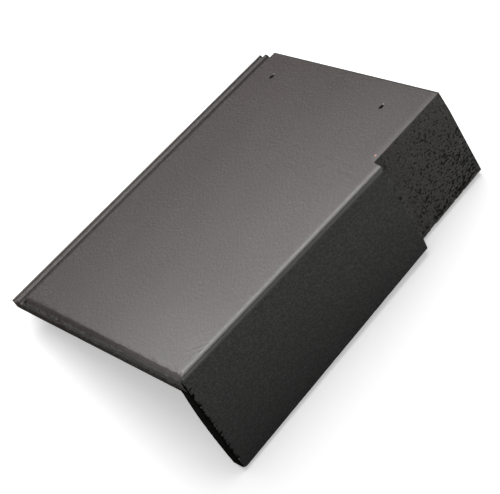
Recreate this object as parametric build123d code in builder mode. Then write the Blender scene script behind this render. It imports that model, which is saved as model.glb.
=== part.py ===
from build123d import *
import os

# Right-hand cloaked verge tile, cast in one piece. It is drawn in its own axes: X across the roof from the
# underlock's lip, Y up the slope from the tail, Z out of the deck's flat top face, which is at z = 0.

# Overall size
LENGTH = 420.0
WIDTH = 338.0
DECK = 17.0
LAP_DEPTH = 23.0

# Underlock, the stepped channel that the neighbouring tile laps over: levels below the deck, and x from
# its first to its last point
LIP_TOP = 11.3
LIP_WIDTH = 2.6
CHANNEL_FLOOR = 13.2
CHANNEL = (3.6, 7.2)
RIB_TOP = 7.4
RIB = (14.0, 18.0)
GROOVE_FLOOR = 10.8
GROOVE = (20.4, 22.5)
DECK_EDGE = 37.5
LAP_UNDERSIDE = (37.0, 44.0)

# Cloak, the wall that turns down over the gable and gets shallower towards the head
CLOAK_TAIL = 140.2
CLOAK_HEAD = 113.2
CLOAK_TOP_WALL = 14.5
CLOAK_FOOT_WALL = 12.5
CLOAK_MIDDLE_WALL = 20.0
SWELL_TOP = 28.0
BEND_RADIUS = 4.0
INNER_RADIUS = 9.0
TAIL_FOOT_RADIUS = 6.0
FOOT_EDGE_RADIUS = 1.5

# Head part of the cloak, set in so that the next tile's cloak laps over it
RECESS = 14.5
STEP_CREST = (308.6, 311.0, 307.8)
STEP_BASE = (310.8, 324.0, 314.5)
LEAN = 2.4
LEAN_DEPTH = 26.0
RECESS_EDGE_RADIUS = 1.2
JOGGLE_START = 286.0
JOGGLE_RUN = 16.0
JOGGLE_RADIUS = 10.0

# Tail end: a rounded top edge, and two bars underneath
TAIL_ROUND = (8.0, 5.5)
TAIL_BAR = (10.0, 14.0)
WEATHER_BAR = (27.0, 30.0, 36.0, 39.0)
WEATHER_BAR_DEPTH = 21.5

# Hanging nibs and nail holes near the head
NIB_CENTRES = (104.0, 232.0)
NIB_WIDTH = 44.0
NIB_BEARING_Y = 396.0
NIB_LENGTH = 18.0
NIB_HEIGHT = 14.0
NIB_DRAFT = 1.0
NIB_BACK_SLOPE = 5.0
NIB_RADIUS = 2.0
NAIL_HOLES = ((70.5, 384.0), (265.5, 382.0))
NAIL_HOLE_RADIUS = 2.75

# How the deck leans when the tile lies unheld, in degrees
REST_ROLL = 16.61
REST_PITCH = 2.701

# Worked out from the sizes above
MARGIN = 10.0
ON_EDGE = 0.1
wall_inside = WIDTH - CLOAK_TOP_WALL
recess_face = WIDTH - RECESS
joggle_inside = wall_inside - RECESS
taper_rise = (CLOAK_TAIL - CLOAK_HEAD) / LENGTH
step_foot = CLOAK_TAIL - taper_rise * STEP_CREST[2] + 1

with BuildPart() as casting:
    # Deck, underlock and cloak share one section over the whole length
    with BuildSketch(Plane.XZ) as section:
        with BuildLine():
            FilletPolyline(
                (0, -LIP_TOP),
                (LIP_WIDTH, -LIP_TOP),
                (CHANNEL[0], -CHANNEL_FLOOR),
                (CHANNEL[1], -CHANNEL_FLOOR),
                (RIB[0], -RIB_TOP),
                (RIB[1], -RIB_TOP),
                (GROOVE[0], -GROOVE_FLOOR),
                (GROOVE[1], -GROOVE_FLOOR),
                (DECK_EDGE, 0),
                (WIDTH, 0),
                (WIDTH, -CLOAK_TAIL),
                (WIDTH - CLOAK_FOOT_WALL, -CLOAK_TAIL),
                (wall_inside, -DECK),
                (LAP_UNDERSIDE[1], -DECK),
                (LAP_UNDERSIDE[0], -LAP_DEPTH),
                (0, -LAP_DEPTH),
                radius=(0.6, 0.6, 0.5, 1.5, 1.5, 1.2, 0.8, 1.5, 1.0, BEND_RADIUS, 0, 0, 0, 3, 2, 2.5),
                close=True,
            )
        make_face()
    extrude(amount=-LENGTH)

    # The wall jogs inwards behind the recess, so that it keeps its thickness there
    with BuildSketch(Plane.XY.offset(-DECK / 2)) as joggle:
        with BuildLine():
            Polyline(
                (WIDTH - CLOAK_TOP_WALL / 2, JOGGLE_START - JOGGLE_RUN / 2),
                (joggle_inside, JOGGLE_START + JOGGLE_RUN),
                (joggle_inside, LENGTH + MARGIN),
                (WIDTH - CLOAK_TOP_WALL / 2, LENGTH + MARGIN),
                close=True,
            )
        make_face()
    extrude(amount=-CLOAK_TAIL)

    # Inside of the angle: soft corners down the joggle and along the underside of the deck
    inside = casting.edges().filter_by_position(Axis.X, joggle_inside - 1, WIDTH - CLOAK_FOOT_WALL + 1)
    upright = inside.filter_by_position(Axis.Y, JOGGLE_START - JOGGLE_RUN, JOGGLE_START + JOGGLE_RUN + 1)
    fillet(upright.filter_by(lambda edge: edge.length > CLOAK_HEAD / 2), radius=JOGGLE_RADIUS)
    inside = casting.edges().filter_by_position(Axis.X, joggle_inside - 1, WIDTH - CLOAK_FOOT_WALL + 1)
    inside = inside.filter_by_position(Axis.Z, -DECK - ON_EDGE, -DECK + ON_EDGE)
    fillet(inside.filter_by_position(Axis.Y, MARGIN, LENGTH - MARGIN), radius=INNER_RADIUS)

    # The wall is thickest half way down, from the tail to the joggle
    with BuildSketch(Plane.XZ) as swelling:
        with BuildLine():
            inner = ThreePointArc(
                (wall_inside, -SWELL_TOP),
                (WIDTH - CLOAK_MIDDLE_WALL, -(SWELL_TOP + CLOAK_TAIL) / 2),
                (WIDTH - CLOAK_FOOT_WALL, -CLOAK_TAIL),
            )
            Polyline(inner @ 1, (WIDTH - CLOAK_FOOT_WALL / 2, -CLOAK_TAIL), (WIDTH - CLOAK_FOOT_WALL / 2, -SWELL_TOP), inner @ 0)
        make_face()
    extrude(amount=-(JOGGLE_START + JOGGLE_RUN / 2))

    # Side outline: the cloak's lower edge tapers, and its tail corner is round
    with BuildSketch(Plane.YZ) as side:
        with BuildLine():
            FilletPolyline(
                (0, MARGIN),
                (LENGTH, MARGIN),
                (LENGTH, -CLOAK_HEAD),
                (0, -CLOAK_TAIL),
                radius=(0, 0, 0, TAIL_FOOT_RADIUS),
                close=True,
            )
        make_face()
    extrude(amount=WIDTH, mode=Mode.INTERSECT)

    # Recess in the outer face, behind a step whose slope is longest half way down
    for x, (top_y, middle_y, foot_y) in ((WIDTH, STEP_CREST), (recess_face, STEP_BASE)):
        with BuildSketch(Plane.YZ.offset(x)) as recess:
            with BuildLine():
                step = ThreePointArc((top_y, 0), (middle_y, -step_foot / 2), (foot_y, -step_foot))
                Polyline(
                    step @ 1,
                    (LENGTH + MARGIN, -step_foot),
                    (LENGTH + MARGIN, MARGIN),
                    (top_y, MARGIN),
                    step @ 0,
                )
            make_face()
    loft(ruled=True, mode=Mode.SUBTRACT)

    # The top of the recessed face leans in a little more towards the head
    with BuildSketch(Plane.XY) as lean:
        with BuildLine():
            Polyline(
                (recess_face, STEP_BASE[1]),
                (recess_face - LEAN, LENGTH),
                (recess_face - LEAN, LENGTH + MARGIN),
                (WIDTH, LENGTH + MARGIN),
                (WIDTH, STEP_BASE[1]),
                close=True,
            )
        make_face()
    extrude(amount=LEAN_DEPTH + 1, dir=(LEAN, 0, -LEAN_DEPTH), mode=Mode.SUBTRACT)
    top_edges = casting.edges().filter_by_position(Axis.Z, -ON_EDGE, ON_EDGE)
    recess_edges = top_edges.filter_by_position(Axis.X, recess_face - LEAN - ON_EDGE, recess_face + ON_EDGE)
    fillet(recess_edges, radius=RECESS_EDGE_RADIUS)

    # Rounded top edge along the deck's tail
    with BuildSketch(Plane.YZ.offset(DECK_EDGE)) as tail_round:
        with BuildLine():
            round_off = EllipticalCenterArc(
                (TAIL_ROUND[0], -TAIL_ROUND[1]), TAIL_ROUND[0], TAIL_ROUND[1], start_angle=90, arc_size=90
            )
            Polyline(round_off @ 1, (-MARGIN, -TAIL_ROUND[1]), (-MARGIN, MARGIN), (TAIL_ROUND[0], MARGIN), round_off @ 0)
        make_face()
    extrude(amount=WIDTH, mode=Mode.SUBTRACT)

    # Bars across the underside at the tail
    with BuildSketch(Plane.YZ.offset(LAP_UNDERSIDE[0] - 2)) as bars:
        with BuildLine():
            Polyline(
                (0, -DECK / 2),
                (0, -LAP_DEPTH),
                (TAIL_BAR[0], -LAP_DEPTH),
                (TAIL_BAR[1], -DECK),
                (TAIL_BAR[1], -DECK / 2),
                close=True,
            )
        make_face()
        with BuildLine():
            Polyline(
                (WEATHER_BAR[0], -DECK / 2),
                (WEATHER_BAR[0], -DECK),
                (WEATHER_BAR[1], -WEATHER_BAR_DEPTH),
                (WEATHER_BAR[2], -WEATHER_BAR_DEPTH),
                (WEATHER_BAR[3], -DECK),
                (WEATHER_BAR[3], -DECK / 2),
                close=True,
            )
        make_face()
    extrude(amount=wall_inside - LAP_UNDERSIDE[0] + 4)

    # Two nibs that hook over the batten, with an upright bearing face towards the tail
    for x in NIB_CENTRES:
        with BuildSketch(Plane.YZ.offset(x)) as nib:
            with BuildLine():
                Polyline(
                    (NIB_BEARING_Y, -DECK),
                    (NIB_BEARING_Y + NIB_DRAFT, -DECK - NIB_HEIGHT),
                    (NIB_BEARING_Y + NIB_LENGTH - NIB_BACK_SLOPE, -DECK - NIB_HEIGHT),
                    (NIB_BEARING_Y + NIB_LENGTH, -DECK),
                    close=True,
                )
            make_face()
        extrude(amount=NIB_WIDTH / 2, both=True)
    nib_edges = casting.edges().filter_by_position(Axis.Z, -DECK - NIB_HEIGHT - ON_EDGE, -DECK - ON_EDGE)
    nib_edges = nib_edges.filter_by_position(Axis.X, LAP_UNDERSIDE[1], joggle_inside - MARGIN)
    fillet(nib_edges.filter_by_position(Axis.Y, NIB_BEARING_Y - 1, LENGTH - 1), radius=NIB_RADIUS)

    # Nail holes, straight through the deck
    with Locations(*NAIL_HOLES):
        Hole(radius=NAIL_HOLE_RADIUS, depth=DECK)

    # Worn lower edges of the cloak
    foot_edges = casting.edges().filter_by(GeomType.LINE).filter_by_position(Axis.Z, -CLOAK_TAIL, -CLOAK_HEAD)
    foot_edges = foot_edges.filter_by(
        lambda edge: edge.length > 90 and abs(edge.center().Z + CLOAK_TAIL - taper_rise * edge.center().Y) < 1
    )
    fillet(foot_edges, radius=FOOT_EDGE_RADIUS)

# Lying on a level floor, the tile stands on the underlock's head corner and on the inner edge of the
# cloak's foot, at the joggle and at the tail: its deck falls towards the underlock and a little to the head
rest_turn = (-REST_PITCH, -REST_ROLL, 0)
turned_box = casting.part.moved(Location((0, 0, 0), rest_turn)).bounding_box()
floor_centre = (-turned_box.center().X, -turned_box.center().Y, -turned_box.min.Z)

with BuildPart(Plane(Location(floor_centre, rest_turn))) as verge_tile:
    add(casting.part)

verge_tile.part.label = "verge_tile"
os.makedirs("parts", exist_ok=True)
export_step(verge_tile.part, "parts/verge_tile.step")
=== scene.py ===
from math import pi, radians

import bmesh
import bpy
from mathutils import Matrix, Quaternion, Vector, noise


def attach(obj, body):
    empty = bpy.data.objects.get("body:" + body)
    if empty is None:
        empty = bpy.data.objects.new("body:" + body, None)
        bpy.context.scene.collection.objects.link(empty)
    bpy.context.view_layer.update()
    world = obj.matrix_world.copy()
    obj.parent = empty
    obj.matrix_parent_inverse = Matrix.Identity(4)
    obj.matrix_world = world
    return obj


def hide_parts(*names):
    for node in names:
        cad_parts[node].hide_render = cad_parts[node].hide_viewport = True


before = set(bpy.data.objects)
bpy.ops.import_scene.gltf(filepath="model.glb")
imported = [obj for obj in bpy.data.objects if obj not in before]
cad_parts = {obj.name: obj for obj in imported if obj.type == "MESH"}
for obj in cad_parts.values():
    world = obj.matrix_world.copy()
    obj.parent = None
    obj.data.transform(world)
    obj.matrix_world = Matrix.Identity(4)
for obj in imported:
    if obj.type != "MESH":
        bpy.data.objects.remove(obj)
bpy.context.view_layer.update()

# The photograph's camera: places in metres, the sensor in mm, the roll in degrees
PHOTO_WIDTH = 500
SENSOR = 36.0
FOCAL_PIXELS = 1799.0
CAMERA_AT = Vector((1.14035, -0.54382, 1.53422))
CAMERA_AIM = Vector((0.05307, -0.03075, 0.08))
CAMERA_ROLL = -27.727

# The tile's own axes: X across from the underlock's lip, Y up the slope from the tail, Z out of the deck, in mm
MM = 0.001
X, Y, Z = 0, 1, 2
LYING_AT = Vector((-183.4349, -211.0815, 41.1982))
LYING_ROLL = 16.61
LYING_PITCH = 2.701

# The tile's sizes and places in its own axes, in mm
LENGTH = 420.0
WIDTH = 338.0
DECK_EDGE = 37.5
RECESS_FACE = 323.5
STEP_TOP = 308.6
STEP_FROM, STEP_TO = 307.0, 326.0
TAIL_DEPTH = 23.0
TAIL_ROUND = 8.0
BEND_ROUND = 4.0
CLOAK_TAIL = 140.2
CLOAK_HEAD = 113.2
CLOAK_FLAT = -9.0
WALL_INSIDE = 317.0
FOOT_INSIDE = 308.0
NAIL_HOLES = ((70.5, 384.0), (265.5, 382.0))
NAIL_HOLE_RADIUS = 2.75
TAPER = (CLOAK_TAIL - CLOAK_HEAD) / LENGTH

# Spacing of the fine grid on the rough places, in mm
RECESS_GRID = 1.15
STEP_GRID = 1.2
CLOAK_END_GRID = 1.3
TAIL_FACE_GRID = 1.5
TAIL_GRID = 1.6
BEND_GRID = 1.6
EDGE_GRID = 2.4
TOUCHING = 0.02
SAME_POINT = 0.002

# Shading: edges sharper than this many degrees stay sharp, and faces over this many square mm are dead flat
SHARP_ANGLE = 28.0
FLAT_AREA = 3000.0

# Relief of the casting, in mm, and the share of it kept beside the underside
RECESS_PITS = 0.9
STEP_LUMPS = 0.25
BEND_LUMPS = 0.16
ROUND_LUMPS = 0.2
TAIL_SAG = 0.3
TAIL_SAG_LENGTH = 14.0
TAIL_FACE_PITS = 0.9
CLOAK_END_CHIPS = 0.7
NAIL_HOLE_PULL = 1.3
BESIDE_UNDERSIDE = 0.2

# Colours of the finishes
COAT_DECK = (0.0415, 0.032, 0.0298, 1)
COAT_THIN = (0.0515, 0.0405, 0.038, 1)
# Painted light and shade: the coat's grey copy for the cloak's cooler, shaded side, and the colour that darkens it
# towards its foot and tail
COAT_CLOAK_SHADED = (0.0445, 0.0445, 0.042, 1)
COAT_CLOAK_SHADED_LOW = (0.0135, 0.0135, 0.0127, 1)
COAT_SPECK = (0.15, 0.14, 0.135, 1)
# Light coat for the painted sheen and highlights, and for the rubbed arris
COAT_RUBBED_AND_SHEEN = (0.25, 0.246, 0.242, 1)
# Light coat for dust and wear, and for painted light on shaded grooves and lit edges
COAT_DUST_AND_LIGHT = (0.15, 0.14, 0.13, 1)
COAT_DIRT = (0.022, 0.017, 0.014, 1)
SAND_DARK = (0.62, 0.62, 0.62, 1)
SAND_LIGHT = (1.75, 1.75, 1.75, 1)
BARE_DARK = (0.059, 0.0575, 0.053, 1)
BARE_LIGHT = (0.139, 0.136, 0.128, 1)
BARE_SPECK = (0.16, 0.155, 0.145, 1)
# Painted shade inside the open pores
PORE_SHADE = (0.006, 0.006, 0.006, 1)
SOOT = (0.027, 0.02, 0.0165, 1)
# Painted shade: the near-black of the cloak's tail end
END_SHADE_BLACK = (0.004, 0.0035, 0.003, 1)

# Gloss of the finishes: roughness, then specular level
COAT_GLOSS = (0.27, 0.3)
BARE_GLOSS = (0.85, 0.12)
END_GLOSS = (0.9, 0.03)
HEAD_RIM_ROUGHNESS = 0.7

# Fine relief of the finishes: height in metres, then strength
COAT_BUMP = (0.0002, 0.6)
BARE_BUMP = (0.0007, 0.9)
END_BUMP = (0.0006, 0.8)

# Scales of the patterns: about how many grains or patches there are in a metre
FINE_GRAIN = 850.0
MEDIUM_GRAIN = 360.0
SAND_GRAIN = 780.0
SPECKS = 1000.0
CLOUDS = 26.0
PORES = 430.0
PORE_PATCHES = 150.0
PORE_WOBBLE = 300.0
WEAR_LUMPS = 330.0
WEAR_JITTER = 260.0
SOOT_RAGS = 210.0
ALONG_TILE = (1.0, 0.5, 1.0)

# Places in the tile's axes, in mm, between which the coat's look changes: a painted sheen by the step and at the
# deck's right-hand head and tail corners, then the head's rim
SHEEN_AT_STEP = ((310.0, 324.5), (306.0, 320.0))
SHEEN_SIDE = (160.0, 330.0)
SHEEN_HEAD = (300.0, 410.0)
SHEEN_TAIL = (120.0, 20.0)
HEAD_RIM = (417.2, 418.8)

# Small marks on the coat: place in the tile's axes and size in mm, and colour; the two spots by the nail holes are
# painted highlights for the lit far walls of the bores, and the rest are flecks and chips
CHIP_LIGHT = (0.22, 0.21, 0.2, 1)
FLECKS_AND_GLINTS = (
    ((317.5, 320.0, 0), 1.4, (0.75, 0.28, 0.16, 1)),
    ((69.2, 389.8, 0), 1.4, (0.17, 0.165, 0.16, 1)),
    ((264.6, 386.9, 0), 1.4, (0.3, 0.29, 0.28, 1)),
    ((338.0, 1.5, -43.0), 1.1, CHIP_LIGHT),
    ((338.0, 2.5, -75.0), 1.1, CHIP_LIGHT),
    ((338.0, 2.0, -125.0), 1.1, CHIP_LIGHT),
)

# Wear and a painted highlight across the bend: distance over the arris from the lip in mm, and how far the coat is
# lightened there
ARRIS_START = 328.0
ARRIS_RUN = 18.0
ARRIS_JITTER = 1.6
ARRIS_WEAR_AND_HIGHLIGHT = (
    (328.0, 0.0), (331.5, 0.12), (333.4, 0.45), (335.2, 0.68), (336.8, 0.75), (338.2, 0.48),
    (339.2, 0.24), (339.8, 0.32), (340.8, 0.56), (342.0, 0.52), (343.3, 0.26), (345.0, 0.0),
)

# Light and floor: softboxes as place and size in metres and radiance
WORLD = 0.28
SIDE_SOFTBOX = ((-1.61, 0.46, 0.988), (1.0, 0.44), 8.9)
TOP_SOFTBOX = ((-1.0, 0.65, 2.35), (3.0, 3.0), 2.3)
SOFTBOX_AIM = (0, 0, 0.08)
FLOOR_SIZE = 8.0
FLOOR_COLOUR = (0.7, 0.7, 0.7, 1)
FLOOR_SEEN = (0.95, 0.95, 0.95, 1)
FLOOR_LIFT = 0.4
FLOOR_ROUGHNESS = 0.9


def tile_axes():
    """Takes the tile's own axes, in mm, to the row frame, in metres."""
    turn = Matrix.Rotation(radians(-LYING_PITCH), 4, "X") @ Matrix.Rotation(radians(-LYING_ROLL), 4, "Y")
    return Matrix.Scale(MM, 4) @ Matrix.Translation(LYING_AT) @ turn


def foot_level(y):
    return -CLOAK_TAIL + TAPER * y


def ramp(value, low, high):
    part = min(1.0, max(0.0, (value - low) / (high - low)))
    return part * part * (3 - 2 * part)


def waves(at, size, seed=0.0):
    """Smooth noise around 0, with waves of the given sizes in mm along the tile's axes."""
    return noise.noise(Vector((at[0] / size[0] + seed, at[1] / size[1] - seed, at[2] / size[2] + 3.7 * seed)))


# Faces of the casting
def between(face, axis, low, high):
    return all(low - TOUCHING <= vert.co[axis] <= high + TOUCHING for vert in face.verts)


def in_box(face, x=(-1, 999), y=(-1, 999), z=(-999, 1)):
    return between(face, X, *x) and between(face, Y, *y) and between(face, Z, *z)


def is_any(face):
    return True


def is_end_plane(face):
    return between(face, Y, 0, 0)


def is_side_plane(face):
    return in_box(face, x=(WIDTH - TOUCHING, WIDTH))


def is_bend(face):
    inside = in_box(face, x=(WIDTH - 2 * BEND_ROUND, WIDTH), y=(0, STEP_TOP - 1), z=(CLOAK_FLAT, 1))
    return inside and face.normal.x + face.normal.z > 0.5


def is_recess(face):
    inside = in_box(face, x=(RECESS_FACE - 4.5, WIDTH), y=(STEP_FROM, LENGTH + 1))
    return inside and face.normal.x > 0.3 and face.normal.z < 0.5


def is_step(face):
    return is_recess(face) and in_box(face, y=(STEP_FROM, STEP_TO))


def is_tail(face):
    inside = in_box(face, x=(0, WIDTH), y=(-0.1, TAIL_SAG_LENGTH), z=(-TAIL_DEPTH, 1))
    return inside and face.normal.y < 0.01 and face.normal.z > -0.5


def is_tail_face(face):
    return in_box(face, y=(-0.1, TOUCHING), z=(-TAIL_DEPTH, 1))


def is_side_strip(face):
    return in_box(face, x=(WIDTH - TOUCHING, WIDTH), y=(0, 9))


def is_cloak_end(face):
    inside = in_box(face, x=(300, WIDTH), y=(-0.1, 9), z=(-CLOAK_TAIL, CLOAK_FLAT))
    return inside and (face.normal.y < -0.5 or face.normal.x > 0.5)


def is_cut_end(face):
    return is_cloak_end(face) and face.normal.y < -0.5


def is_foot(face):
    inside = between(face, X, FOOT_INSIDE, WIDTH)
    return inside and all(abs(vert.co.z - foot_level(vert.co.y)) < 3 for vert in face.verts)


def is_underlock(face):
    return in_box(face, x=(0, DECK_EDGE), y=(0, LENGTH)) and face.normal.z > 0.05


# Mesh of the tile
def steps(low, high, size):
    count = max(1, round((high - low) / size))
    return [low + (high - low) * i / count for i in range(count + 1)]


def cut(bm, test, axis, places):
    """Cuts the faces that pass the test across one axis at each place, and leaves the shape as it is."""
    faces = [face for face in bm.faces if test(face)]
    geom = dict.fromkeys(faces)
    for face in faces:
        geom.update(dict.fromkeys(face.edges))
        geom.update(dict.fromkeys(face.verts))
    geom = list(geom)
    normal = Vector((0, 0, 0))
    normal[axis] = 1
    for place in places:
        geom = bmesh.ops.bisect_plane(bm, geom=geom, dist=0.005, plane_co=normal * place, plane_no=normal)["geom"]


def divide_for_relief(bm):
    """Puts a fine grid where the casting is rough, chipped or worn, and leaves the flat faces whole."""
    cut(bm, is_any, Y, [9.0, 11.0, TAIL_SAG_LENGTH, STEP_TOP - 1])
    cut(bm, is_end_plane, Z, [-TAIL_DEPTH])
    cut(bm, is_side_plane, Z, [CLOAK_FLAT])
    cut(bm, is_bend, Y, steps(0, STEP_TOP - 1, BEND_GRID))
    cut(bm, is_bend, X, [331.5, 333.0])
    cut(bm, is_bend, Z, [-7.5, -5.5])
    cut(bm, is_recess, Y, steps(STEP_TOP, LENGTH - 0.6, RECESS_GRID))
    cut(bm, is_recess, Z, steps(-CLOAK_TAIL + 25, -1.2, RECESS_GRID))
    cut(bm, is_step, X, steps(RECESS_FACE + 1, WIDTH - 1, STEP_GRID))
    cut(bm, is_tail, X, steps(DECK_EDGE, WIDTH - BEND_ROUND, TAIL_GRID))
    cut(bm, is_tail_face, Z, steps(-TAIL_DEPTH + 1, -5.5, TAIL_FACE_GRID))
    cut(bm, is_side_strip, Y, [0.7, 1.6, 2.8, 4.5, 6.5])
    cut(bm, is_cloak_end, Z, steps(-CLOAK_TAIL + 1, CLOAK_FLAT, CLOAK_END_GRID))
    cut(bm, is_cut_end, X, steps(WALL_INSIDE + 2, WIDTH - 1, TAIL_GRID))
    cut(bm, is_foot, Y, steps(6, LENGTH - 1, EDGE_GRID))
    cut(bm, is_underlock, Y, steps(1, LENGTH - 1, EDGE_GRID))


# Zones of the surface, and the finish of each
DECK, ROUND, BEND, CLOAK, LOCK, RIM, STEP, FOOT, RECESS, TAIL_FACE, CLOAK_END, HEAD_END, UNDER = range(13)
COATED = {DECK, ROUND, BEND, CLOAK, LOCK, RIM, FOOT}
COAT, BARE, BLACK = 0, 1, 2


def zone_of(face):
    at = face.calc_center_median()
    way = face.normal
    if at.x > FOOT_INSIDE and abs(at.z - foot_level(at.y)) < 2.2 and way.y > -0.7 and at.y < LENGTH - 0.01:
        return FOOT
    if at.y < 0.05 and way.y < -0.7:
        return CLOAK_END if at.z < -TAIL_DEPTH + (3 if at.x > WALL_INSIDE + 1 else 0) else TAIL_FACE
    if at.x > WIDTH - 1.6 and at.y < 1.55 and at.z < CLOAK_FLAT and way.y < -0.03:
        return CLOAK_END
    if at.y > LENGTH - 0.05 and way.y > 0.7:
        return HEAD_END
    beside_recess = WALL_INSIDE + 1 < at.x < RECESS_FACE + 0.1 and at.y > STEP_TOP - 1
    if beside_recess and -1.25 < at.z < -0.001 and way.x > 0.02:
        return RIM
    if is_recess(face):
        return STEP if at.x > RECESS_FACE + 0.2 else RECESS
    if at.x > WIDTH - 0.05 and way.x > 0.9:
        return CLOAK
    if at.x > DECK_EDGE and at.y < TAIL_ROUND + 0.1 and at.z > -5.6 and way.y < -0.03:
        return ROUND
    if at.x > WIDTH - BEND_ROUND - 0.1 and at.z > -BEND_ROUND - 0.1 and way.x > 0.02:
        return BEND
    if at.x < DECK_EDGE and way.z > 0.05:
        return LOCK
    if way.z > 0.9 and at.z > -0.05:
        return DECK
    return UNDER


def slot_of(zone, at):
    """Finish of a face: the cloak end's painted shade and bare concrete run raggedly into the coat beside the tail.
    """
    shade_edge = 1.6 + 7.0 * max(0.0, waves(at, (9, 9, 3.1), 9.4) + 0.7 * waves(at, (9, 9, 1.3), 4.1))
    bare_edge = -3.6 + 3.0 * waves(at, (6, 9, 9), 5.2) + 2.0 * waves(at, (2.5, 9, 9), 1.9)
    if zone == CLOAK_END or zone == CLOAK and at.y < shade_edge:
        return BLACK
    if zone not in COATED or zone == ROUND and at.z < bare_edge:
        return BARE
    return COAT


def pit(along, across, size, stretch, chance, seed):
    """Depth from 0 to 1 of small pores scattered over a face, longer along than across."""
    distances, centres = noise.voronoi(Vector((along / (size * stretch), across / size, seed)))
    draw = 0.5 + 0.5 * noise.cell(centres[0] * 37.0)
    if draw > chance:
        return 0.0
    return max(0.0, 1 - distances[0] / (0.32 + 0.25 * draw / max(chance, 0.01)))


def tail_ridge(x):
    """Depth of the coat's ragged lower edge on the tail's face."""
    return 11.5 + 3.0 * waves((x, 0, 0), (14, 9, 9), 7.0) + 3.0 * waves((x, 0, 0), (4, 9, 9), 3.0)


def recess_roughness(y, z):
    """How rough the recessed face is: most at its foot and its head corner, little along its top edge."""
    along = ramp(y, STEP_TOP, LENGTH)
    down = ramp(-z, 0, CLOAK_HEAD)
    return 0.6 + ramp(-z, 1, 14) * (0.1 + 0.08 * down + 0.34 * along * down)


def recess_depth(at):
    rough = recess_roughness(at.y, at.z)
    pits = pit(at.y, at.z, 2.4, 1.6, 0.6 * rough, 1.5) * (0.5 + rough)
    pits += pit(at.y, at.z, 4.2, 1.5, 0.3 * rough, 8.5) * 1.1
    return RECESS_PITS * pits + rough * (0.12 + 0.12 * waves(at, (9, 7, 2.4)))


def bend_depth(at):
    return BEND_LUMPS * max(0.0, 0.2 + 0.5 * waves(at, (5, 4.5, 5), 1.3) + 0.5 * waves(at, (2.4, 2.1, 2.4), 5.1))


def tail_face_depth(at):
    ridge = tail_ridge(at.x)
    low = ramp(-at.z, ridge, ridge + 3)
    right = 0.5 + 0.5 * ramp(at.x, 60, 300)
    pits = pit(at.x, at.z, 2.3, 1.5, 0.7 * low * right, 4.4) + low * (0.35 + 0.5 * waves(at, (3, 9, 2), 7.0))
    pits += 0.6 * (1 - ramp(-at.z, 5, ridge)) + 0.4 * waves(at, (3, 9, 2.2), 2.0)
    return TAIL_FACE_PITS * max(0.0, pits)


def relief_at(at, zones):
    """How far a point of the casting moves, in the tile's axes."""
    move = Vector((0, 0, 0))
    kept = BESIDE_UNDERSIDE if UNDER in zones else 1.0
    if zones <= {RECESS}:
        move.x -= recess_depth(at)
    elif zones & {RECESS, STEP} and not zones & {DECK, RIM}:
        move.x -= STEP_LUMPS * max(0.0, waves(at, (9, 4, 3), 2.0))
    if BEND in zones:
        move += Vector((-1, 0, -1)) * bend_depth(at)
    if ROUND in zones:
        move += Vector((0, 1, -1)) * ROUND_LUMPS * max(0.0, 0.4 + waves(at, (7, 9, 9), 3.3))
    if zones <= {DECK, ROUND} and at.y < TAIL_SAG_LENGTH:
        move.z -= TAIL_SAG * (1 - at.y / TAIL_SAG_LENGTH) ** 2 * (1 - ramp(at.x, 60, 300))
    if TAIL_FACE in zones:
        move.y += tail_face_depth(at) * kept
    if CLOAK_END in zones:
        move.y += 0.35 + 0.9 * waves(at, (4, 4, 3.2), 6.1) + 0.5 * waves(at, (1.6, 2, 1.7), 2.2)
        move.y = max(0.0, move.y) * kept
        if CLOAK in zones:
            ragged = 0.2 + 1.3 * waves(at, (9, 9, 2.2), 9.4) + 0.8 * waves(at, (9, 9, 1.3), 4.1)
            move += Vector((-1, 1, 0)) * CLOAK_END_CHIPS * max(0.0, ragged)
    if FOOT in zones:
        chip = max(0.0, waves(at, (6, 5, 9), 8.3) - 0.1)
        move += Vector((-0.4, 0, 0.6)) * chip * (1.6 if at.y > STEP_TOP else 0.5)
    if LOCK in zones and 0.5 < at.y < LENGTH - 0.5:
        move.z -= 0.12 + 0.22 * waves(at, (2.5, 3.2, 4), 2.9)
    for x, y in NAIL_HOLES:
        if DECK in zones and Vector((at.x - x, at.y - y)).length < NAIL_HOLE_RADIUS + 0.3:
            move.y += NAIL_HOLE_PULL * max(0.0, (at.y - y) / NAIL_HOLE_RADIUS)
    if zones == {HEAD_END}:
        move.y -= 0.2 + 0.3 * waves(at, (4, 4, 4), 1.1)
    return move


MARKS = ("wear_and_light", "sooty", "rough", "cloak", "bend")


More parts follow.
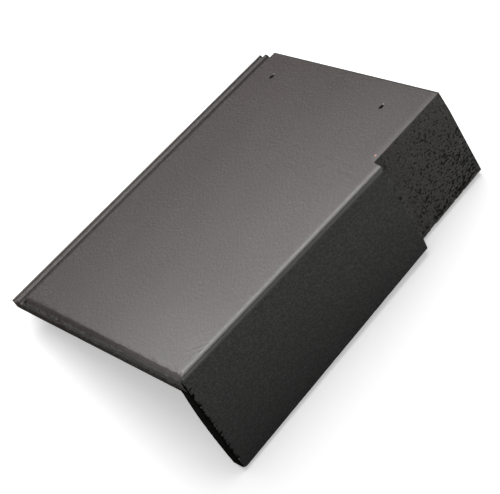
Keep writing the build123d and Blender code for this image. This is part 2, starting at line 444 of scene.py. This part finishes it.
def marks_at(zone, at):
    """The marks of a corner of a face: worn coat with painted light, soot, raw roughness, cloak side, which gets
    painted shade, and bend with its two sides.
    """
    wear_and_light = 0.0
    sooty = 0.0
    rough = 0.0
    # Painted highlight: the recess's top rim is painted lighter
    if zone == RIM:
        wear_and_light = 0.5
    # Chips and a painted highlight along the foot's arris beside the recess
    elif zone == FOOT:
        wear_and_light = 0.9 if at.y > STEP_TOP else 0.0
    # Painted light: the underlock's channel and groove, which lie in shade, are painted lighter, less between 10 and
    # 18.5 mm across and towards the head
    elif zone == LOCK:
        wear_and_light = (0.3 if 10 < at.x < 18.5 else 0.9) * (1 - 0.4 * ramp(at.y, 150, LENGTH))
    elif zone == RECESS:
        above_foot = at.z - foot_level(at.y)
        clear = ramp(above_foot, 1.5, 4.5)
        rough = (recess_roughness(at.y, at.z) + 0.25 * ramp(-above_foot, -12, -5)) * (0.35 + 0.65 * clear)
        sooty = 0.08 * ramp(-above_foot, -14, -5) * clear
    elif zone == STEP:
        rough = 0.9
        sooty = 0.08 * ramp(at.x, RECESS_FACE + 4, RECESS_FACE)
    elif zone == TAIL_FACE:
        low = ramp(-at.z, tail_ridge(at.x) - 3, tail_ridge(at.x) + 3)
        rough = 0.5 + 0.65 * low
        sooty = (0.08 + 0.42 * low) * (1 - 0.6 * ramp(at.x, 60, 220)) + 0.25 * ramp(-at.z, 14, TAIL_DEPTH)
    elif zone in (HEAD_END, UNDER, CLOAK_END):
        rough = 0.35
    elif zone == ROUND:
        sooty = 0.45 - 0.45 * ramp(at.x, 90, 310)
        wear_and_light = 0.18 * ramp(at.x, 100, 320)
    cloak = float(zone in (CLOAK, FOOT) or zone == BEND and at.z < -1.5)
    bend = float(zone in (DECK, BEND, CLOAK))
    return wear_and_light, sooty, rough, cloak, bend


def mark_faces(bm):
    """Gives each face its zone, finish and shading, and each corner its marks."""
    zones = bm.faces.layers.int.new("zone")
    layers = [bm.loops.layers.float.new(name) for name in MARKS]
    for edge in bm.edges:
        edge.smooth = edge.calc_face_angle(0) < radians(SHARP_ANGLE)
    for face in bm.faces:
        face[zones] = zone_of(face)
        face.smooth = face.calc_area() < FLAT_AREA
        face.material_index = slot_of(face[zones], face.calc_center_median())
        for loop in face.loops:
            for layer, value in zip(layers, marks_at(face[zones], loop.vert.co)):
                loop[layer] = value
    return zones


def make_tile(cad):
    """A finer copy of the solid's mesh, with the casting's relief pushed into it."""
    bm = bmesh.new()
    bm.from_mesh(cad.data)
    bm.transform(tile_axes().inverted())
    bmesh.ops.remove_doubles(bm, verts=bm.verts, dist=SAME_POINT)
    bmesh.ops.dissolve_limit(bm, angle_limit=radians(0.2), verts=bm.verts, edges=bm.edges)
    divide_for_relief(bm)
    bm.normal_update()
    zones = mark_faces(bm)
    moves = [relief_at(vert.co, {face[zones] for face in vert.link_faces}) for vert in bm.verts]
    for vert, move in zip(bm.verts, moves):
        vert.co += move
    bmesh.ops.triangulate(bm, faces=bm.faces)
    bm.transform(tile_axes())
    mesh = bpy.data.meshes.new("cast_tile")
    bm.to_mesh(mesh)
    bm.free()
    piece = bpy.data.objects.new("cast_tile", mesh)
    bpy.context.collection.objects.link(piece)
    return piece


# Shader nodes
def feed(tree, socket, value):
    if isinstance(value, bpy.types.NodeSocket):
        tree.links.new(value, socket)
    else:
        socket.default_value = value


def add(tree, kind, settings=None, **inputs):
    made = tree.nodes.new("ShaderNode" + kind)
    for name, value in (settings or {}).items():
        setattr(made, name, value)
    for name, value in inputs.items():
        feed(tree, made.inputs[name.replace("_", " ")], value)
    return made


def calc(tree, operation, first, second=0.0, clamp=False):
    made = add(tree, "Math", {"operation": operation, "use_clamp": clamp})
    feed(tree, made.inputs[0], first)
    feed(tree, made.inputs[1], second)
    return made.outputs[0]


def fit(tree, value, low, high, to_low=0.0, to_high=1.0):
    made = add(tree, "MapRange", {"interpolation_type": "SMOOTHSTEP"}, Value=value)
    for name, number in (("From Min", low), ("From Max", high), ("To Min", to_low), ("To Max", to_high)):
        made.inputs[name].default_value = number
    return made.outputs["Result"]


def fit_mm(tree, value, places, to_low=0.0, to_high=1.0):
    """Goes from one value to the other between two places given in mm."""
    return fit(tree, value, places[0] * MM, places[1] * MM, to_low, to_high)


def mix(tree, part, first, second, blend="MIX"):
    made = add(tree, "Mix", {"data_type": "RGBA", "blend_type": blend})
    feed(tree, made.inputs["Factor"], part)
    feed(tree, made.inputs[6], first)
    feed(tree, made.inputs[7], second)
    return made.outputs[2]


def noise_of(tree, vector, scale, detail=3.0, roughness=0.55):
    return add(tree, "TexNoise", Vector=vector, Scale=scale, Detail=detail, Roughness=roughness).outputs["Fac"]


def bump(tree, height, relief):
    return add(tree, "Bump", Height=height, Distance=relief[0], Strength=relief[1]).outputs["Normal"]


def attribute(tree, name):
    return add(tree, "Attribute", {"attribute_name": name}).outputs["Fac"]


def along_tile(tree, vector):
    """Stretches a pattern to twice its length along the tile."""
    return add(tree, "Mapping", Vector=vector, Scale=ALONG_TILE).outputs[0]


def new_group(name, inputs, outputs):
    group = bpy.data.node_groups.new(name, "ShaderNodeTree")
    for label, kind in inputs:
        group.interface.new_socket(label, in_out="INPUT", socket_type="NodeSocket" + kind)
    for label, kind in outputs:
        group.interface.new_socket(label, in_out="OUTPUT", socket_type="NodeSocket" + kind)
    return group, group.nodes.new("NodeGroupInput").outputs, group.nodes.new("NodeGroupOutput").inputs


def use_group(tree, group, **inputs):
    made = tree.nodes.new("ShaderNodeGroup")
    made.node_tree = group
    for name, value in inputs.items():
        feed(tree, made.inputs[name], value)
    return made.outputs


def new_material(name, gloss):
    material = bpy.data.materials.new(name)
    material.use_nodes = True
    shader = material.node_tree.nodes["Principled BSDF"]
    shader.inputs["Roughness"].default_value = gloss[0]
    shader.inputs["Specular IOR Level"].default_value = gloss[1]
    return material, material.node_tree, shader


def tile_coordinates(tree):
    """Object coordinates in the tile's own axes, in metres."""
    place = add(tree, "TexCoord").outputs["Object"]
    turn = tile_axes().to_euler()
    mapping = add(tree, "Mapping", {"vector_type": "TEXTURE"}, Vector=place, Location=LYING_AT * MM, Rotation=turn)
    return mapping.outputs[0]


# Effects that the finishes share
def cast_grain_group():
    """Sandy grain of the casting as a height, cloudy patches along its length, and masks of sand and light specks."""
    outputs = [("Height", "Float"), ("Clouds", "Float"), ("Sand", "Float"), ("Specks", "Float")]
    group, given, result = new_group("cast_grain", [("Vector", "Vector")], outputs)
    stretched = along_tile(group, given["Vector"])
    fine = noise_of(group, given["Vector"], FINE_GRAIN, 2.0, 0.6)
    medium = noise_of(group, stretched, MEDIUM_GRAIN, 2.0, 0.6)
    specks = noise_of(group, given["Vector"], SPECKS, 1.0, 0.5)
    group.links.new(calc(group, "ADD", fine, calc(group, "MULTIPLY", medium, 0.7)), result["Height"])
    group.links.new(noise_of(group, stretched, CLOUDS, 3.0, 0.5), result["Clouds"])
    group.links.new(noise_of(group, stretched, SAND_GRAIN, 3.0, 0.7), result["Sand"])
    group.links.new(fit(group, specks, 0.64, 0.74), result["Specks"])
    return group


def pores_group():
    """Small open pores, longer along the tile than across, as a mask and a height."""
    inputs = [("Vector", "Vector"), ("Amount", "Float")]
    group, given, result = new_group("pores", inputs, [("Pores", "Float"), ("Height", "Float")])
    stretched = along_tile(group, given["Vector"])
    wobble = add(group, "TexNoise", Vector=stretched, Scale=PORE_WOBBLE, Detail=2.0).outputs["Color"]
    bent = add(group, "VectorMath", {"operation": "MULTIPLY_ADD"})
    feed(group, bent.inputs[0], wobble)
    bent.inputs[1].default_value = (0.0022, 0.0022, 0.0022)
    feed(group, bent.inputs[2], stretched)
    cells = add(group, "TexVoronoi", {"feature": "F1"}, Vector=bent.outputs[0], Scale=PORES)
    patches = fit(group, noise_of(group, stretched, PORE_PATCHES, 3.0), 0.32, 0.68, 0.19, 0.355)
    reach = calc(group, "MULTIPLY", given["Amount"], patches)
    mask = calc(group, "SUBTRACT", reach, calc(group, "MULTIPLY", cells.outputs["Distance"], 0.62))
    open_pores = fit(group, mask, -0.02, 0.08)
    group.links.new(open_pores, result["Pores"])
    group.links.new(calc(group, "MULTIPLY", open_pores, -1.0), result["Height"])
    return group


# The satin coat
def coat_ground(tree, axes, lain, cloak):
    """The coat's colour: brown on the deck; on the cloak a grey copy of it, painted light and shade for the cloak's
    cooler, shaded side, and darker down it and towards the tail; with sand and specks.
    """
    deck = mix(tree, fit(tree, lain["Clouds"], 0.3, 0.7, 0.0, 0.35), COAT_DECK, COAT_THIN)
    # Painted shade: on the cloak the coat darkens down it and towards the tail
    down = calc(tree, "MULTIPLY", axes["Z"], -7.7)
    low = calc(tree, "ADD", down, calc(tree, "MULTIPLY", axes["Y"], -1.1), clamp=True)
    coat = mix(tree, cloak, deck, mix(tree, low, COAT_CLOAK_SHADED, COAT_CLOAK_SHADED_LOW))
    sand = mix(tree, fit(tree, lain["Sand"], 0.42, 0.66), SAND_DARK, SAND_LIGHT)
    coat = mix(tree, 1.0, coat, sand, "MULTIPLY")
    return mix(tree, calc(tree, "MULTIPLY", lain["Specks"], 0.6), coat, COAT_SPECK)


def paint_deck_sheen(tree, coat, mask, amount, cloak):
    """Paints the coat a little lighter where the mask says, on the deck's side only: a painted sheen."""
    part = calc(tree, "MULTIPLY", mask, calc(tree, "SUBTRACT", amount, cloak), clamp=True)
    return mix(tree, part, coat, COAT_RUBBED_AND_SHEEN)


def arris_wear_and_highlight(tree, place):
    """How far the coat is lightened across the bend, by wear and a painted highlight: a bright bead, a thin dark line
    and a second bead.
    """
    axes = add(tree, "SeparateXYZ", Vector=place).outputs
    jitter = calc(tree, "MULTIPLY", noise_of(tree, place, WEAR_JITTER, 3.0, 0.6), ARRIS_JITTER * MM)
    across = calc(tree, "ADD", calc(tree, "SUBTRACT", axes["X"], axes["Z"]), jitter)
    past_start = calc(tree, "SUBTRACT", across, (ARRIS_START + 0.5 * ARRIS_JITTER) * MM)
    wear_and_highlight = add(tree, "ValToRGB", Fac=calc(tree, "DIVIDE", past_start, ARRIS_RUN * MM, clamp=True))
    stops = wear_and_highlight.color_ramp.elements
    while len(stops) < len(ARRIS_WEAR_AND_HIGHLIGHT):
        stops.new(0.5)
    for stop, (distance, grey) in zip(stops, ARRIS_WEAR_AND_HIGHLIGHT):
        stop.position = (distance - ARRIS_START) / ARRIS_RUN
        stop.color = (grey, grey, grey, 1)
    return calc(tree, "MULTIPLY", wear_and_highlight.outputs["Color"], attribute(tree, "bend"))


def fleck(tree, place, at, size):
    """Mask of one small spot, at a place in the tile's axes in mm."""
    away = add(tree, "VectorMath", {"operation": "DISTANCE"})
    feed(tree, away.inputs[0], place)
    away.inputs[1].default_value = Vector(at) * MM
    return fit_mm(tree, away.outputs["Value"], (size, 0.5 * size))


def make_coat(grain):
    material, tree, shader = new_material("satin_coat", COAT_GLOSS)
    place = tile_coordinates(tree)
    axes = add(tree, "SeparateXYZ", Vector=place).outputs
    lain = use_group(tree, grain, Vector=place)
    cloak = attribute(tree, "cloak")
    coat = coat_ground(tree, axes, lain, cloak)
    # Painted sheen: the deck is painted lighter by the step's crest and towards its right-hand head and tail corners
    across, up = SHEEN_AT_STEP
    at_step = calc(tree, "MULTIPLY", fit_mm(tree, axes["X"], across), fit_mm(tree, axes["Y"], up))
    coat = paint_deck_sheen(tree, coat, at_step, 0.2, cloak)
    ends = calc(tree, "ADD", fit_mm(tree, axes["Y"], SHEEN_HEAD), fit_mm(tree, axes["Y"], SHEEN_TAIL, 0.0, 1.2))
    corners = calc(tree, "MULTIPLY", fit_mm(tree, axes["X"], SHEEN_SIDE), ends)
    coat = paint_deck_sheen(tree, coat, corners, 0.11, cloak)
    # Wear and a painted highlight along the bend's arris
    coat = mix(tree, arris_wear_and_highlight(tree, place), coat, COAT_RUBBED_AND_SHEEN)
    lumps = fit(tree, noise_of(tree, place, WEAR_LUMPS, 3.0, 0.6), 0.35, 0.65, 0.6, 1.0)
    # Lighter coat where worn or dusty, and painted light on the recess's rim, the foot's arris and the underlock's
    # shaded groove
    coat = mix(tree, calc(tree, "MULTIPLY", attribute(tree, "wear_and_light"), lumps), coat, COAT_DUST_AND_LIGHT)
    coat = mix(tree, attribute(tree, "sooty"), coat, COAT_DIRT)
    # Flecks and chips, and the painted highlights by the nail holes
    for at, size, colour in FLECKS_AND_GLINTS:
        coat = mix(tree, fleck(tree, place, at, size), coat, colour)
    coat = mix(tree, fit_mm(tree, axes["Y"], HEAD_RIM, 0.0, 0.85), coat, COAT_DIRT)
    tree.links.new(coat, shader.inputs["Base Color"])
    dulling = fit_mm(tree, axes["Y"], HEAD_RIM, COAT_GLOSS[0], HEAD_RIM_ROUGHNESS)
    tree.links.new(dulling, shader.inputs["Roughness"])
    tree.links.new(bump(tree, lain["Height"], COAT_BUMP), shader.inputs["Normal"])
    return material


# The bare finishes
def make_bare(grain, pores):
    """Raw concrete with open pores painted near black as shade, blackened by soot in ragged patches."""
    material, tree, shader = new_material("bare_concrete", BARE_GLOSS)
    place = tile_coordinates(tree)
    lain = use_group(tree, grain, Vector=place)
    open_pores = use_group(tree, pores, Vector=place, Amount=attribute(tree, "rough"))
    bare = mix(tree, fit(tree, lain["Sand"], 0.3, 0.7), BARE_DARK, BARE_LIGHT)
    bare = mix(tree, calc(tree, "MULTIPLY", lain["Specks"], 0.4), bare, BARE_SPECK)
    # Painted shade: the open pores are painted near black
    bare = mix(tree, calc(tree, "MULTIPLY", open_pores["Pores"], 0.9), bare, PORE_SHADE)
    sooty = attribute(tree, "sooty")
    ragged = calc(tree, "SUBTRACT", noise_of(tree, place, SOOT_RAGS, 4.0, 0.65), 0.5)
    ragged = calc(tree, "MULTIPLY", ragged, fit(tree, sooty, 0.0, 0.15, 0.6, 2.4))
    soot = fit(tree, calc(tree, "ADD", sooty, ragged), 0.08, 0.5, 0.0, 0.95)
    tree.links.new(mix(tree, soot, bare, SOOT), shader.inputs["Base Color"])
    height = calc(tree, "ADD", calc(tree, "MULTIPLY", lain["Height"], 1.1), open_pores["Height"])
    tree.links.new(bump(tree, height, BARE_BUMP), shader.inputs["Normal"])
    return material


def make_black_end(grain):
    """The cloak's tail end, nearly black: painted shade."""
    material, tree, shader = new_material("shaded_end", END_GLOSS)
    lain = use_group(tree, grain, Vector=tile_coordinates(tree))
    specks = calc(tree, "MULTIPLY", lain["Specks"], 0.3)
    tree.links.new(mix(tree, specks, END_SHADE_BLACK, BARE_DARK), shader.inputs["Base Color"])
    tree.links.new(bump(tree, lain["Height"], END_BUMP), shader.inputs["Normal"])
    return material


# Camera, floor and light
def make_camera():
    data = bpy.data.cameras.new("photo_camera")
    data.sensor_width = SENSOR
    data.lens = SENSOR * FOCAL_PIXELS / PHOTO_WIDTH
    camera = bpy.data.objects.new("photo_camera", data)
    level = (CAMERA_AIM - CAMERA_AT).to_track_quat("-Z", "Y")
    camera.location = CAMERA_AT
    camera.rotation_mode = "QUATERNION"
    camera.rotation_quaternion = level @ Quaternion((0, 0, 1), radians(CAMERA_ROLL))
    bpy.context.collection.objects.link(camera)
    bpy.context.scene.camera = camera


def make_floor():
    """A pale floor that shows white to the camera and keeps the tile's shadow."""
    bpy.ops.mesh.primitive_plane_add(size=FLOOR_SIZE)
    floor = bpy.context.object
    floor.name = "floor"
    material, tree, shader = new_material("floor", (FLOOR_ROUGHNESS, 0.0))
    seen = add(tree, "LightPath").outputs["Is Camera Ray"]
    tree.links.new(mix(tree, seen, FLOOR_COLOUR, FLOOR_SEEN), shader.inputs["Base Color"])
    lift = add(tree, "Emission", Strength=calc(tree, "MULTIPLY", seen, FLOOR_LIFT)).outputs[0]
    both = add(tree, "AddShader")
    tree.links.new(shader.outputs[0], both.inputs[0])
    tree.links.new(lift, both.inputs[1])
    tree.links.new(both.outputs[0], tree.nodes["Material Output"].inputs["Surface"])
    floor.data.materials.append(material)


def make_softbox(name, at, size, radiance):
    light = bpy.data.lights.new(name, "AREA")
    light.shape = "RECTANGLE"
    light.size, light.size_y = size
    light.energy = radiance * pi * size[0] * size[1]
    lamp = bpy.data.objects.new(name, light)
    lamp.location = at
    lamp.rotation_mode = "QUATERNION"
    lamp.rotation_quaternion = (Vector(SOFTBOX_AIM) - lamp.location).to_track_quat("-Z", "Y")
    bpy.context.collection.objects.link(lamp)


def make_world():
    world = bpy.data.worlds.new("studio")
    bpy.context.scene.world = world
    world.use_nodes = True
    background = world.node_tree.nodes["Background"]
    background.inputs["Color"].default_value = (1, 1, 1, 1)
    background.inputs["Strength"].default_value = WORLD


make_camera()
make_floor()
make_world()
make_softbox("side_softbox", *SIDE_SOFTBOX)
make_softbox("top_softbox", *TOP_SOFTBOX)
grain = cast_grain_group()
tile = make_tile(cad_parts["verge_tile"])
for finish in (make_coat(grain), make_bare(grain, pores_group()), make_black_end(grain)):
    tile.data.materials.append(finish)
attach(tile, "root")
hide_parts("verge_tile")

bpy.context.scene.view_settings.view_transform = "Standard"
